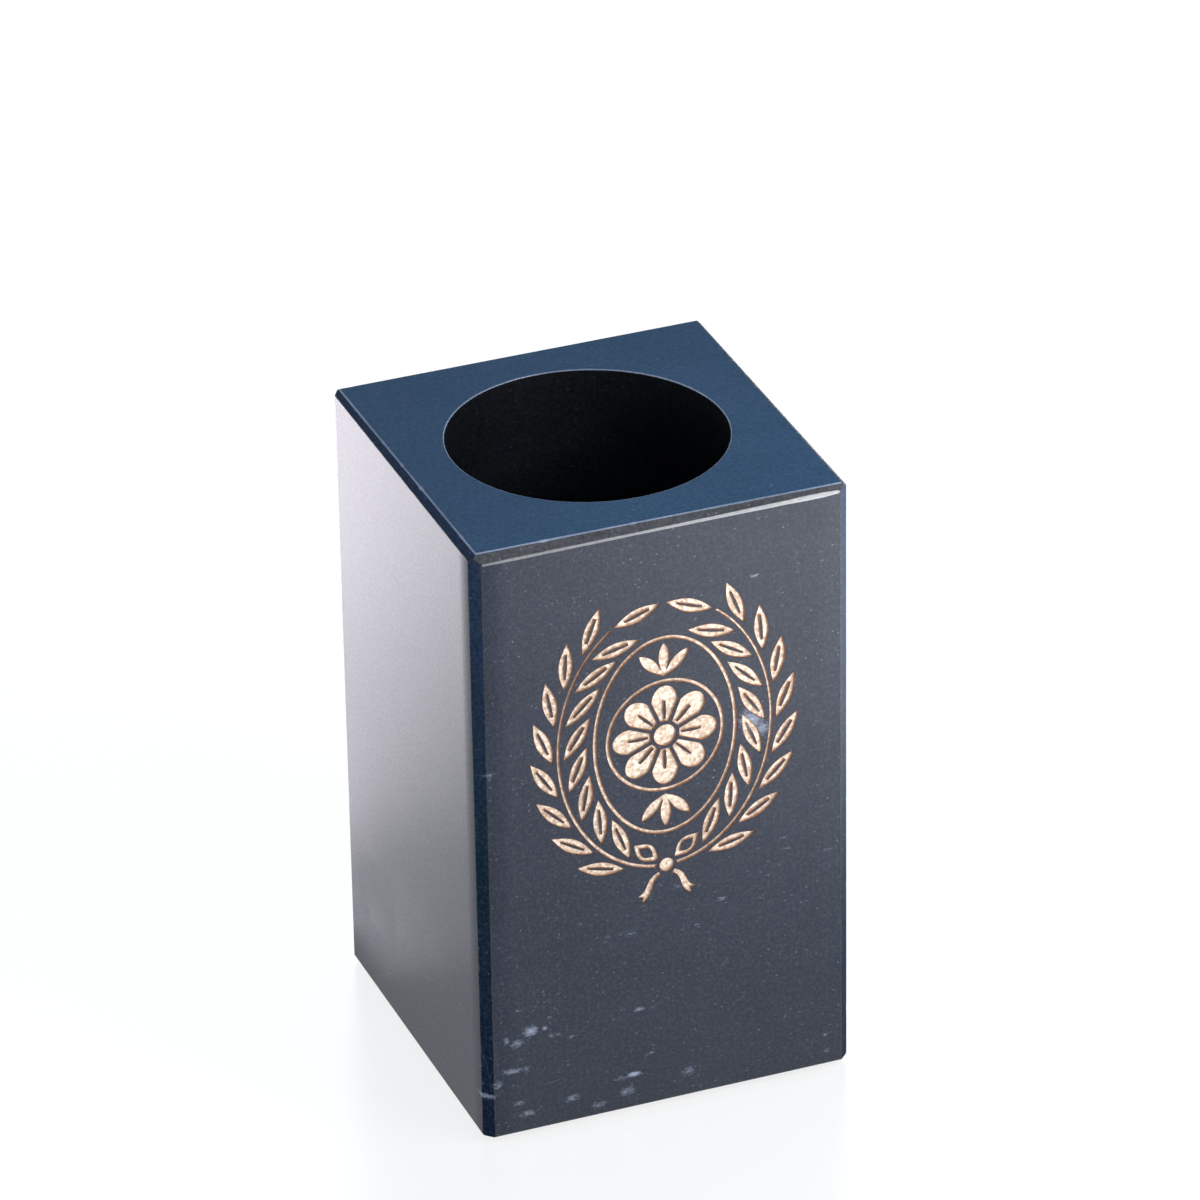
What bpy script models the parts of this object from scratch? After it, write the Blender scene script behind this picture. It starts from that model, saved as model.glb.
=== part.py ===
"""A square pen holder cut from one block of dark stone.

A blind round well is drilled down from the polished top, flats are ground along the edges, and an ornament is
blasted into the front and filled with gold paint: an eight-petalled rosette in a ring and an oval line, between
two laurel branches tied with a bow. A felt pad is glued under the base.

Metres, +Z up. The origin is the middle of the felt's underside, and the ornament faces -Y."""

from math import atan2, cos, hypot, pi, radians, sin, tan

import bmesh
import bpy
import numpy as np

# Stone block
BLOCK_SIDE = 0.0762
BLOCK_HEIGHT = 0.127
SIDE_ARRIS = 0.002  # the flats ground along the upright edges
TOP_ARRIS = 0.0015
FOOT_ARRIS = 0.0005

# Well drilled down from the top
WELL_RADIUS = 0.0273
WELL_FLOOR = 0.015  # the stone left under the well
WELL_FILLET = 0.002  # where the wall meets the floor
WELL_LIP = 0.0004  # the chamfer round the mouth
WELL_SIDES = 96
FILLET_STEPS = 4

# Felt under the base
FELT_THICKNESS = 0.001
FELT_INSET = 0.003  # from the block's sides
FELT_CORNER = 0.004
FELT_CORNER_STEPS = 5
GLUE_LINE = 0.0002

# Blasted recesses and the gold paint in them
ETCH_DEPTH = 0.0008
GILT_SINK = 0.00025  # how far the paint lies below the stone's face
GILT_CLEARANCE = 0.00015  # between the paint and the recess round it

# Ornament, worked out from its centre outwards
ORNAMENT_DROP = 0.0458  # its centre under the block's top
BARE_STONE = 0.0006  # the least stone left between two fills
LINE_WIDTH = 0.0008
VEIN_WIDTH = 0.0005  # the sliver of stone left along a leaf or a petal
BOSS_RADIUS = 0.0023
PETAL_COUNT = 8
PETAL_LENGTH = 0.0078
PETAL_ROUNDING = 0.0034  # the length of a petal's round end
OVAL_MARGIN = 0.0018  # between the rosette's ring and the oval line, at the sides
SPRAY_LENGTH = 0.0073  # the small sprays of leaves over and under the rosette
SPRAY_LEAVES = 3
SPRAY_ANGLE = radians(44)  # between the leaves of a spray
SPRAY_CROTCH = 0.0016  # where two of its leaves meet, from its foot
SPRAY_FULLNESS = 0.62  # 1 for leaves with straight sides, and less for fuller ones
STEM_MARGIN = 0.0066  # between the oval line and the stems, with the inner leaves in it
LEAF_SPREAD = radians(28)  # between a leaf and its stem
LEAF_PAIRS = 8
KNOT_RADIUS = 0.0015
LOOP_LENGTH = 0.0066
LOOP_WIDTH = 0.0036
LOOP_ANGLE = radians(40)  # above the stem
TAIL_LENGTH = 0.0068
TAIL_WIDTH = 0.0019
TAIL_ANGLE = radians(50)  # below the stem
TAIL_WAVE = 0.0004  # how far a tail swings to each side of its middle line

BLADE_STEPS = 6
SPRAY_STEPS = 4
ROUND_STEPS = 6
RING_STEPS = 64
STEM_STEPS = 24
TAIL_STEPS = 8
TABLE_STEPS = 720  # for measuring along the stem

COLLECTION = "stone_pen_holder"
MERGE_DISTANCE = 1e-6
CUT_MARGIN = 0.001  # how far a cutter stands out of what it cuts

block_foot = FELT_THICKNESS + GLUE_LINE
block_top = block_foot + BLOCK_HEIGHT
face_y = -BLOCK_SIDE / 2
ornament_z = block_top - ORNAMENT_DROP

petals_start = BOSS_RADIUS + BARE_STONE
petals_end = petals_start + PETAL_LENGTH
ring_radius = petals_end + BARE_STONE + LINE_WIDTH / 2
spray_foot = ring_radius + LINE_WIDTH / 2 + BARE_STONE
oval_half_width = ring_radius + OVAL_MARGIN + LINE_WIDTH
oval_half_height = spray_foot + SPRAY_LENGTH + BARE_STONE + LINE_WIDTH / 2
stem_half_width = oval_half_width + LINE_WIDTH + STEM_MARGIN
stem_half_height = oval_half_height + LINE_WIDTH + STEM_MARGIN
leaf_length = (STEM_MARGIN - 3 * BARE_STONE) / sin(LEAF_SPREAD)
bow_start = KNOT_RADIUS + BARE_STONE


def clear_scene():
    """Removes what the scene holds."""
    for item in list(bpy.data.objects):
        bpy.data.objects.remove(item)


def make_collection(name):
    group = bpy.data.collections.new(name)
    bpy.context.scene.collection.children.link(group)
    return group


def make_material(name, colour, roughness, metallic=0.0):
    material = bpy.data.materials.new(name)
    material.use_nodes = True
    shader = material.node_tree.nodes["Principled BSDF"]
    shader.inputs["Base Color"].default_value = (*colour, 1)
    shader.inputs["Roughness"].default_value = roughness
    shader.inputs["Metallic"].default_value = metallic
    return material


def add_object(name, data, group, material=None):
    item = bpy.data.objects.new(name, data)
    group.objects.link(item)
    if material:
        data.materials.append(material)
    return item


def mark_cutter(item):
    item.hide_render = True
    item.display_type = "WIRE"


# Outlines are lists of (x, z) points, counter-clockwise round the ornament's centre or a leaf's own base
def turned(points, angle):
    return [(x * cos(angle) - z * sin(angle), x * sin(angle) + z * cos(angle)) for x, z in points]


def moved(points, by_x, by_z):
    return [(x + by_x, z + by_z) for x, z in points]


def mirrored(points):
    """The outline on the other side of the ornament's upright middle line, still counter-clockwise."""
    return [(-x, z) for x, z in reversed(points)]


def inset(points, distance):
    """The outline moved inwards along its edges' normals, mitred at its corners."""
    corners = np.array(points)
    edges = np.roll(corners, -1, axis=0) - corners
    inward = np.stack((-edges[:, 1], edges[:, 0]), axis=1) / np.linalg.norm(edges, axis=1)[:, None]
    before = np.roll(inward, 1, axis=0)
    mitre = (before + inward) / (1 + (before * inward).sum(axis=1))[:, None]
    return [tuple(corner) for corner in corners + distance * mitre]


def oval(half_width, half_height, steps):
    turns = [2 * pi * step / steps for step in range(steps)]
    return [(half_width * cos(turn), half_height * sin(turn)) for turn in turns]


def blade(length, width):
    """A pointed leaf from the origin along +X."""
    shares = [step / BLADE_STEPS for step in range(BLADE_STEPS)]
    lower = [(length * share, -width / 2 * sin(pi * share)) for share in shares]
    upper = [(length * (1 - share), width / 2 * sin(pi * share)) for share in shares]
    return lower + upper


def band(middle, halves):
    """The outline round a line of points, with half the band's width at each."""
    points = np.array(middle)
    ways = np.gradient(points, axis=0)
    right = np.stack((ways[:, 1], -ways[:, 0]), axis=1) / np.linalg.norm(ways, axis=1)[:, None]
    side = right * np.array(halves)[:, None]
    return [tuple(point) for point in np.concatenate((points + side, (points - side)[::-1]))]


def vein(start, end):
    """The sliver of stone left standing between two points on a leaf's middle line, with blunt ends."""
    middle = (start + end) / 2
    return band([(start, 0), (middle, 0), (end, 0)], [VEIN_WIDTH / 4, VEIN_WIDTH / 2, VEIN_WIDTH / 4])


def veined_blade(length, width):
    """A leaf as [outline, hole]."""
    return [blade(length, width), vein(length / 4, length * 3 / 4)]


def petal():
    """A petal along +X: straight sides kept clear of its neighbours, and a round end."""
    half_angle = pi / PETAL_COUNT
    round_start = petals_end - PETAL_ROUNDING

    def half_width(radius):
        return radius * tan(half_angle) - BARE_STONE / 2 / cos(half_angle)

    turns = [pi / 2 * step / ROUND_STEPS for step in range(-ROUND_STEPS, ROUND_STEPS + 1)]
    end = [(round_start + PETAL_ROUNDING * cos(turn), half_width(round_start) * sin(turn)) for turn in turns]
    base = [(petals_start, half_width(petals_start)), (petals_start, -half_width(petals_start))]
    return [end + base, vein(petals_start + BARE_STONE, round_start)]


def ring(half_width, half_height):
    """A thin line round an oval, as [outline, hole]."""
    half_line = LINE_WIDTH / 2
    return [
        oval(half_width + half_line, half_height + half_line, RING_STEPS),
        oval(half_width - half_line, half_height - half_line, RING_STEPS),
    ]


def placed(loops, angle, by_x, by_z):
    return [moved(turned(loop, angle), by_x, by_z) for loop in loops]


def both_sides(name, loops):
    """The right-hand fill and its mirror image on the left."""
    return {
        f"gilt_right_{name}": loops,
        f"gilt_left_{name}": [mirrored(loop) for loop in loops],
    }


# The stems follow an oval, which is walked from its lowest point up the right-hand side
def stem_table():
    """How far along the oval each of many small turns lies."""
    turns = np.linspace(0, pi, TABLE_STEPS + 1)
    x = stem_half_width * np.sin(turns)
    z = -stem_half_height * np.cos(turns)
    lengths = np.concatenate(([0], np.cumsum(np.hypot(np.diff(x), np.diff(z)))))
    return turns, lengths


def stem_place(distance):
    """(x, z, heading) on the stem's oval, this far from its lowest point."""
    turns, lengths = stem_table()
    turn = float(np.interp(distance, lengths, turns))
    heading = atan2(stem_half_height * sin(turn), stem_half_width * cos(turn))
    return stem_half_width * sin(turn), -stem_half_height * cos(turn), heading


def outside_stem(x, z):
    """About how far a point lies outside the stem's oval, and exactly so for a point on it."""
    share = hypot(x / stem_half_width, z / stem_half_height)
    slope = hypot(x / stem_half_width**2, z / stem_half_height**2) / share
    return (share - 1) / slope


def stem_end():
    """Where the end leaf starts, so that the two end leaves stay apart at the top."""
    return float(stem_table()[1][-1]) - BARE_STONE - leaf_length


def leaf_places():
    """Where each pair of leaves leaves the stem, beyond the bow's loop, and the step between two pairs."""
    first = bow_start + (LOOP_LENGTH + BARE_STONE) * cos(LOOP_ANGLE) + BARE_STONE
    step = (stem_end() - first) / LEAF_PAIRS
    return [first + step * number for number in range(LEAF_PAIRS)], step


def leaf():
    """A leaf as wide as its neighbours on the stem leave room for, as [outline, hole]."""
    return veined_blade(leaf_length, leaf_places()[1] * sin(LEAF_SPREAD) - BARE_STONE)


def stem():
    """The stem's line, narrowing towards its end."""
    distances = np.linspace(bow_start, stem_end() - BARE_STONE, STEM_STEPS)
    halves = np.linspace(LINE_WIDTH / 2, LINE_WIDTH / 3, STEM_STEPS)
    return [band([stem_place(distance)[:2] for distance in distances], halves)]


def stem_leaf(distance, side):
    """A leaf that leaves the stem here, outwards for side -1 and inwards for side 1."""
    x, z, way = stem_place(distance)
    middle_way = stem_place(distance + leaf_length / 2)[2]
    loops = placed(leaf(), middle_way + side * LEAF_SPREAD, x, z)
    nearest = min(-side * outside_stem(*point) for point in loops[0])
    push = side * (LINE_WIDTH / 2 + BARE_STONE - nearest)
    return placed(loops, 0, -push * sin(way), push * cos(way))


def end_leaf():
    x, z, _ = stem_place(stem_end())
    return placed(leaf(), stem_place(stem_end() + leaf_length / 2)[2], x, z)


def spray():
    """A small spray of pointed leaves joined at the foot, which stands on the rosette's ring."""
    outline = [(0, spray_foot)]
    for number in range(SPRAY_LEAVES):
        middle = pi / 2 + (number - (SPRAY_LEAVES - 1) / 2) * SPRAY_ANGLE
        for share in np.linspace(-1, 1, 2 * SPRAY_STEPS + 1)[number > 0 :]:
            reach = SPRAY_CROTCH + (SPRAY_LENGTH - SPRAY_CROTCH) * (1 - abs(share)) ** SPRAY_FULLNESS
            way = middle + share * SPRAY_ANGLE / 2
            outline.append((reach * cos(way), spray_foot + reach * sin(way)))
    return [outline]


def beside_knot(loops, angle):
    """Loops that start at the origin, moved to the bow's knot and turned this far up from the right."""
    return placed(loops, angle, bow_start * cos(angle), bow_start * sin(angle) - stem_half_height)


def bow_loop():
    """The bow's right-hand loop, open in its middle."""
    edge = 2 * LINE_WIDTH
    loops = [blade(LOOP_LENGTH, LOOP_WIDTH), moved(blade(LOOP_LENGTH - 2 * edge, LOOP_WIDTH - edge), edge, 0)]
    return beside_knot(loops, LOOP_ANGLE)


def tail_place(share):
    """A point on a tail's middle line, at this share of its length."""
    return TAIL_LENGTH * share, TAIL_WAVE * sin(2 * pi * share)


def bow_tail():
    """The bow's right-hand tail, waved and widening to a notched end."""
    shares = np.linspace(0, 1, TAIL_STEPS + 1)
    outline = band([tail_place(share) for share in shares], [TAIL_WIDTH / 4 * (1 + share) for share in shares])
    outline.insert(TAIL_STEPS + 1, tail_place(1 - TAIL_WIDTH / 2 / TAIL_LENGTH))
    return beside_knot([outline], -TAIL_ANGLE)


def ornament():
    """{node name: [outline, holes]} for every fill, round the ornament's centre."""
    fills = {"gilt_rosette_boss": [oval(BOSS_RADIUS, BOSS_RADIUS, 4 * ROUND_STEPS)]}
    for number in range(PETAL_COUNT):
        angle = pi / 2 - 2 * pi * number / PETAL_COUNT
        fills[f"gilt_rosette_petal_{number + 1}"] = placed(petal(), angle, 0, 0)
    fills["gilt_rosette_ring"] = ring(ring_radius, ring_radius)
    fills["gilt_oval_line"] = ring(oval_half_width, oval_half_height)
    fills["gilt_upper_spray"] = spray()
    fills["gilt_lower_spray"] = placed(spray(), pi, 0, 0)
    fills.update(both_sides("stem", stem()))
    for number, distance in enumerate(leaf_places()[0], start=1):
        fills.update(both_sides(f"outer_leaf_{number}", stem_leaf(distance, -1)))
        fills.update(both_sides(f"inner_leaf_{number}", stem_leaf(distance, 1)))
    fills.update(both_sides("end_leaf", end_leaf()))
    fills["gilt_bow_knot"] = placed([oval(KNOT_RADIUS, KNOT_RADIUS, 2 * ROUND_STEPS)], 0, 0, -stem_half_height)
    fills.update(both_sides("bow_loop", bow_loop()))
    fills.update(both_sides("bow_tail", bow_tail()))
    return fills


def plate(name, loops, front, back, group, material=None):
    """A flat solid of this outline that faces -Y, between two depths behind the stone's face."""
    outline = bpy.data.curves.new(name + "_outline", "CURVE")
    outline.dimensions = "2D"
    outline.fill_mode = "BOTH"
    outline.extrude = (back - front) / 2
    for loop in loops:
        spline = outline.splines.new("POLY")
        spline.points.add(len(loop) - 1)
        for point, (x, z) in zip(spline.points, loop):
            point.co = (x, z, 0, 1)
        spline.use_cyclic_u = True
    curve = add_object(name + "_outline", outline, group)
    curve.rotation_euler = (pi / 2, 0, 0)
    curve.location = (0, face_y + (front + back) / 2, ornament_z)
    depsgraph = bpy.context.evaluated_depsgraph_get()
    evaluated = curve.evaluated_get(depsgraph)
    mesh = bpy.data.meshes.new_from_object(evaluated)
    weld(mesh)
    solid = add_object(name, mesh, group, material)
    solid.matrix_world = evaluated.matrix_world.copy()
    bpy.data.objects.remove(curve)
    return solid


def weld(mesh):
    """Joins a curve's loose caps to its sides."""
    shape = bmesh.new()
    shape.from_mesh(mesh)
    bmesh.ops.remove_doubles(shape, verts=shape.verts, dist=MERGE_DISTANCE)
    bmesh.ops.recalc_face_normals(shape, faces=shape.faces)
    shape.to_mesh(mesh)
    shape.free()


def gilding(fills, parts, cutters):
    """The paint in each recess, and the cutter that makes the recess."""
    gilt = make_material("gilt", (0.76, 0.53, 0.32), 0.45, 1.0)
    for name, loops in fills.items():
        outline, *holes = loops
        cutter = plate(name + "_recess", loops, -CUT_MARGIN, ETCH_DEPTH, cutters)
        mark_cutter(cutter)
        paint = [inset(outline, GILT_CLEARANCE)] + [inset(hole, -GILT_CLEARANCE) for hole in holes]
        plate(name, paint, GILT_SINK, ETCH_DEPTH - GILT_CLEARANCE, parts, gilt)


def well_cutter(cutters):
    """The drilled well, turned from its profile: the lip's chamfer, the wall, the fillet and the floor."""
    floor = block_foot + WELL_FLOOR
    flare = WELL_LIP + CUT_MARGIN
    turns = [pi / 2 * step / FILLET_STEPS for step in range(FILLET_STEPS + 1)]
    fillet_x = WELL_RADIUS - WELL_FILLET
    fillet_z = floor + WELL_FILLET
    profile = [
        (0, block_top + CUT_MARGIN),
        (WELL_RADIUS + flare, block_top + CUT_MARGIN),
        (WELL_RADIUS, block_top - WELL_LIP),
    ]
    profile += [(fillet_x + WELL_FILLET * cos(turn), fillet_z - WELL_FILLET * sin(turn)) for turn in turns]
    profile.append((0, floor))
    mesh = bpy.data.meshes.new("well_profile")
    edges = [(index, index + 1) for index in range(len(profile) - 1)]
    mesh.from_pydata([(x, 0, z) for x, z in profile], edges, [])
    cutter = add_object("well_cutter", mesh, cutters)
    screw = cutter.modifiers.new("Screw", "SCREW")
    screw.steps = WELL_SIDES
    screw.render_steps = WELL_SIDES
    screw.use_merge_vertices = True
    screw.merge_threshold = MERGE_DISTANCE
    mark_cutter(cutter)


def box_mesh(name, width, depth, height, foot):
    """A box on the middle of the XY plane, with its underside at foot."""
    mesh = bpy.data.meshes.new(name)
    shape = bmesh.new()
    bmesh.ops.create_cube(shape, size=1)
    bmesh.ops.scale(shape, vec=(width, depth, height), verts=shape.verts)
    bmesh.ops.translate(shape, vec=(0, 0, foot + height / 2), verts=shape.verts)
    shape.to_mesh(mesh)
    shape.free()
    return mesh


def bevel_edges(item, width_of, steps):
    """Bevels each edge of a box by the width that width_of gives for its middle's height."""
    mesh = item.data
    widths = []
    for edge in mesh.edges:
        low, high = sorted(mesh.vertices[index].co.z for index in edge.vertices)
        widths.append(width_of((low + high) / 2))
    widest = max(widths)
    weights = mesh.attributes.new("bevel_weight_edge", "FLOAT", "EDGE")
    for weight, width in zip(weights.data, widths):
        weight.value = width / widest
    bevel = item.modifiers.new("Edges", "BEVEL")
    bevel.limit_method = "WEIGHT"
    bevel.width = widest
    bevel.segments = steps


def stone_block(parts, cutters):
    """The block with its ground arrises, its well and the ornament's recesses."""
    stone = make_material("black_stone", (0.045, 0.055, 0.07), 0.35)
    mesh = box_mesh("stone_block", BLOCK_SIDE, BLOCK_SIDE, BLOCK_HEIGHT, block_foot)
    block = add_object("stone_block", mesh, parts, stone)

    def arris(height):
        if height > block_foot + BLOCK_HEIGHT * 3 / 4:
            return TOP_ARRIS
        if height < block_foot + BLOCK_HEIGHT / 4:
            return FOOT_ARRIS
        return SIDE_ARRIS

    bevel_edges(block, arris, 1)
    cuts = block.modifiers.new("Well and recesses", "BOOLEAN")
    cuts.operation = "DIFFERENCE"
    cuts.solver = "EXACT"
    cuts.operand_type = "COLLECTION"
    cuts.collection = cutters


def felt_base_pad(parts):
    """The felt, a square sheet with round corners."""
    felt = make_material("felt", (0.03, 0.03, 0.035), 0.95)
    side = BLOCK_SIDE - 2 * FELT_INSET
    pad = add_object("felt_base_pad", box_mesh("felt_base_pad", side, side, FELT_THICKNESS, 0), parts, felt)

    def corner(height):
        return FELT_CORNER if 0 < height < FELT_THICKNESS else 0

    bevel_edges(pad, corner, FELT_CORNER_STEPS)


def main():
    clear_scene()
    parts = make_collection(COLLECTION)
    cutters = make_collection("cutters")
    felt_base_pad(parts)
    well_cutter(cutters)
    gilding(ornament(), parts, cutters)
    stone_block(parts, cutters)


main()
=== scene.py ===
"""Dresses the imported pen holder: stone with worn ground edges, gold paint in its ornament, and felt."""
from math import atan2, cos, hypot, pi, radians, sin, tan

import bmesh
import bpy
import numpy as np
from mathutils import Matrix, Vector, kdtree, noise


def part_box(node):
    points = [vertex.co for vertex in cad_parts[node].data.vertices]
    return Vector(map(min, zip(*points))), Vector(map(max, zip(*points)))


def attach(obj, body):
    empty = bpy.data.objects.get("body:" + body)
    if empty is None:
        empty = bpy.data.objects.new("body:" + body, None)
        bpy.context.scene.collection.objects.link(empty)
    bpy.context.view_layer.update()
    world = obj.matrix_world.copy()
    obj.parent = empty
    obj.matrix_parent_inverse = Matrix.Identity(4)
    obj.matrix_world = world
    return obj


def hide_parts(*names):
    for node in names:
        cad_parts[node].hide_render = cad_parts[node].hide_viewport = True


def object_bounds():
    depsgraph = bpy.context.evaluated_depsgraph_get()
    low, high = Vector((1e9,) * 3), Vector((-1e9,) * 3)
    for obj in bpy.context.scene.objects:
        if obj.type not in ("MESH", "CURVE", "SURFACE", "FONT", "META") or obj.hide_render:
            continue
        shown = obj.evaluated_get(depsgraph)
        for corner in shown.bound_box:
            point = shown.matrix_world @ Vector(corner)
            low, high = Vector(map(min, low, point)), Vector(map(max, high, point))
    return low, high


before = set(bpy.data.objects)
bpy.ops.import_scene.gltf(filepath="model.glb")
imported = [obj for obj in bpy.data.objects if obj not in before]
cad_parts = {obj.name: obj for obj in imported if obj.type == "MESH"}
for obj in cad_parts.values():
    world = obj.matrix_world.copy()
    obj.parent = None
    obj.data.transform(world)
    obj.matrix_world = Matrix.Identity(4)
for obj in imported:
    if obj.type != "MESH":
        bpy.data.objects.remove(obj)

# The CAD model's own box and places, in metres
cad_low, cad_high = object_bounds()
block_low, block_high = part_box("stone_block")
felt_low, felt_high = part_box("felt_base_pad")
ring_low, ring_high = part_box("gilt_rosette_ring")
side = block_high.x - block_low.x
felt_side = felt_high.x - felt_low.x
face_y = block_low.y
ornament_z = (ring_low.z + ring_high.z) / 2

# Stone block, with a flat ground along each of its edges
TOP_LEFT_FLAT = 0.0018  # along the front's upper edge, at its left end
TOP_RIGHT_FLAT = 0.0012
TOP_FLAT = 0.0015  # along the back's upper edge
LEFT_BACK_FLAT = 0.0011  # along the left side's upper edge, at its back end
LEFT_FRONT_FLAT = 0.00155
LEFT_FLAT_DROP = 0.85  # of that flat down the side, over its width on the top
RIGHT_BACK_FLAT = 0.0007
RIGHT_FRONT_FLAT = 0.0012
UPRIGHT_FLAT = 0.002
FOOT_FLAT = 0.0003
ROLL_START = 0.0315  # from the middle of a honed face to where it starts to roll off towards its edge
ROLL_BEND = 20  # of that roll, per metre

# Wear of the edges between two flat faces, with the scales of its noise per metre
EDGE_ROUNDING = 0.00013
EDGE_STEP = 0.0006  # between the places where an edge's wear changes
EDGE_SEGMENTS = 4
LEAST_WEAR = 0.7  # the least worn edges' rounding, over EDGE_ROUNDING
UNEVEN_WEAR = 0.7  # how much more than that the most worn have
UNEVEN_SCALE = 260
CHIP_SCALE = 420
CHIP_SHIFT = Vector((3.1, 7.7, 1.3))
CHIP_LEVEL = 0.42  # of the noise, above which an edge is chipped
CHIP_SIZE = 5
LIP_WEAR = 0.5  # how many times more the edges of the polished top are rounded
BORDER_WEAR = 0.3  # how many times more the border under the front's upper flat is rubbed
BORDER_LEFT = 0.9  # how much is added to that at its left end, and at its right end
BORDER_RIGHT = 3.1
BORDER_END = 0.3  # the share of that rubbing that is left at the very ends
BORDER_TAPER = 0.005  # the length over which it dies away

# Well
WELL_RADIUS = 0.0273
WELL_FLOOR = 0.015  # the stone left under it
WELL_FILLET = 0.002
WELL_LIP = 0.0002  # the rounding of its mouth
WELL_SIDES = 192
ROUND_STEPS = 8  # in a quarter turn

# Ornament, worked out from its centre outwards
ETCH_DEPTH = 0.0008
BARE_STONE = 0.0006
LINE_WIDTH = 0.0008
VEIN_WIDTH = 0.0005
BOSS_RADIUS = 0.0023
PETAL_COUNT = 8
PETAL_LENGTH = 0.0078
PETAL_ROUNDING = 0.0034
OVAL_MARGIN = 0.0018
SPRAY_LENGTH = 0.0073
SPRAY_LEAVES = 3
SPRAY_ANGLE = radians(44)
SPRAY_CROTCH = 0.0016
SPRAY_FULLNESS = 0.62
STEM_MARGIN = 0.0066
LEAF_SPREAD = radians(28)
LEAF_PAIRS = 8
KNOT_RADIUS = 0.0015
LOOP_LENGTH = 0.0066
LOOP_WIDTH = 0.0036
LOOP_ANGLE = radians(40)
TAIL_LENGTH = 0.0068
TAIL_WIDTH = 0.0019
TAIL_ANGLE = radians(50)
TAIL_WAVE = 0.0004

MITRE_LIMIT = 1.4  # how far an inset outline's sharp corners may move, over the inset
BLADE_STEPS = 14
SPRAY_STEPS = 8
RING_STEPS = 160
STEM_STEPS = 60
TAIL_STEPS = 20
TABLE_STEPS = 720

# The paint's surface from its back round to its floor: how far in from the recess's wall, and how deep
PAINT_PROFILE = [
    (0.00003, 0.00074),
    (0.00003, 0.00005),
    (0.00007, 0.00004),
    (0.00010, 0.00012),
    (0.00014, 0.00032),
    (0.00016, 0.00042),
]

# Felt, with how far in and how far up its thickness each ring of its soft edge lies
FELT_CORNER = 0.004
FELT_PROFILE = [(0.00030, 0.0), (0.00008, 0.15), (0.0, 0.5), (0.00008, 0.85), (0.00030, 1.0)]
FELT_SIDE_STEPS = 60
FELT_CORNER_STEPS = 12
FELT_FUZZ = 0.00012  # how far its ragged edge comes and goes
FELT_FUZZ_SCALE = 900

# Camera, fitted to the block's edges in the photograph
CAMERA_LENS = 236.1
CAMERA_SENSOR = 36
CAMERA_YAW = radians(21.091)
CAMERA_PITCH = radians(28.672)
CAMERA_ROLL = radians(-0.999)
CAMERA_DISTANCE = 1.5268
CAMERA_RIGHT = 0.00143  # how far the view's centre lies beside and above the block's middle
CAMERA_UP = 0.02424
CAMERA_REACH = 100  # how far it sees

# Floor and lights
FLOOR_REACH = 12
FLOOR_GAP = 0.00005  # between the felt and the floor
FLOOR_WHITE = (0.9, 0.9, 0.9, 1)
FLOOR_GLOW = 1.87  # the brightness of the floor's own white
FLOOR_GLOSS = 0.42  # the share of the floor that mirrors
FLOOR_ROUGHNESS = 0.25  # of that mirror
FLOOR_SHADOW = 0.25  # the share of the rest that takes the block's shadow
WORLD_HORIZON = (0.95, 0.95, 0.95)
WORLD_TOP = (0.3, 0.36, 0.42)
CARD_WAY = Vector((0.732, 0.681))  # along the floor, the way in which the left face's reflection brightens
CARD_HEIGHT = 0.002
CARD_COLOUR = (0.97, 0.92, 1.0)

# The block's material slots, and how square to an axis a face stands or leans to belong to one
SQUARE_ON = 0.99
LEANING = 0.5
SLOT_SIDE = 0
SLOT_TOP = 1
SLOT_FLAT = 2
SLOT_WORN = 3
# The well's stone is near black: painted shade inside the well
SLOT_WELL = 4
# The recesses' walls take a brown painted shade
SLOT_RECESS = 5
# Painted light: the flats leaning up to the front and back take a paler, lit copy of the ground stone
SLOT_PAINTED_LIGHT_RIM = 6
# Pale stone with a painted highlight, on the border under the front's upper flat
SLOT_HIGHLIGHT_BORDER = 7
# Pale bluish stone with a painted highlight, on the top's front and left edges and round the well's mouth
SLOT_HIGHLIGHT_LIP = 8

# Colours of the stone's markings, of its painted highlights, painted sheen and painted shade, and the scales
# of its noise per metre
SPECK_COLOUR = (0.42, 0.45, 0.52)
CALCITE_COLOUR = (0.42, 0.47, 0.6)
SCRATCH_COLOUR = (0.3, 0.33, 0.4)
# Painted highlight: the near-white colour of the border under the front's upper flat
BORDER_HIGHLIGHT_COLOUR = (0.5, 0.5, 0.515)
# Painted sheen: the ground flats paler and bluer towards the block's top
FLAT_TOP_PAINTED_SHEEN = (0.03, 0.05, 0.11)
FLAT_TOP_SHEEN_HEIGHTS = (0.06, 0.12)  # between which the ground flats take on that painted sheen
# Painted shade: the ground flats darker towards the block's foot
FLAT_FOOT_PAINTED_SHADE = (0.0005, 0.006, 0.032)
FLAT_FOOT_SHADE_HEIGHTS = (0.06, 0.02)
BEDDING_SCALE = 38
MOTTLE_SCALE = 1500
GRAIN_SCALE = 2600
BORDER_HIGHLIGHT_SCALE = 1300
BORDER_HIGHLIGHT_PATCH = 0.00012  # how far the edge of the border's painted highlight comes and goes
BORDER_HIGHLIGHT_EDGE = (0.0004, -0.00025)  # above the upper flat's border line, from its end to where it's full
CALCITE_SCALE = (1000, 1000, 1900)
CALCITE_DEPTH = 0.004
HAIRLINE_STRETCH = 0.06  # of its noise along a hairline, over that across it
HAIRLINE_STEP = (0.2, 0, 0)  # to the place beside, where the noise is compared
HAIRLINE_WIDTH = 0.004  # as a difference of the noise
SCRATCH_HALF_WIDTH = 0.00012

# Colours of the paint, on the recesses' floors and up their walls, where its brown is painted shade, and of
# the felt
GOLD_DARK = (0.54, 0.4, 0.3)
GOLD_LIGHT = (0.81, 0.7, 0.595)
GOLD_WALL_PAINTED_SHADE = (0.4, 0.2, 0.12)
GOLD_SHADE_DEPTHS = (0.00010, 0.00036)  # between which the walls' brown painted shade turns into the floor's gold
FELT_DARK = (0.012, 0.013, 0.016)
FELT_LIGHT = (0.05, 0.052, 0.058)

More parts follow.
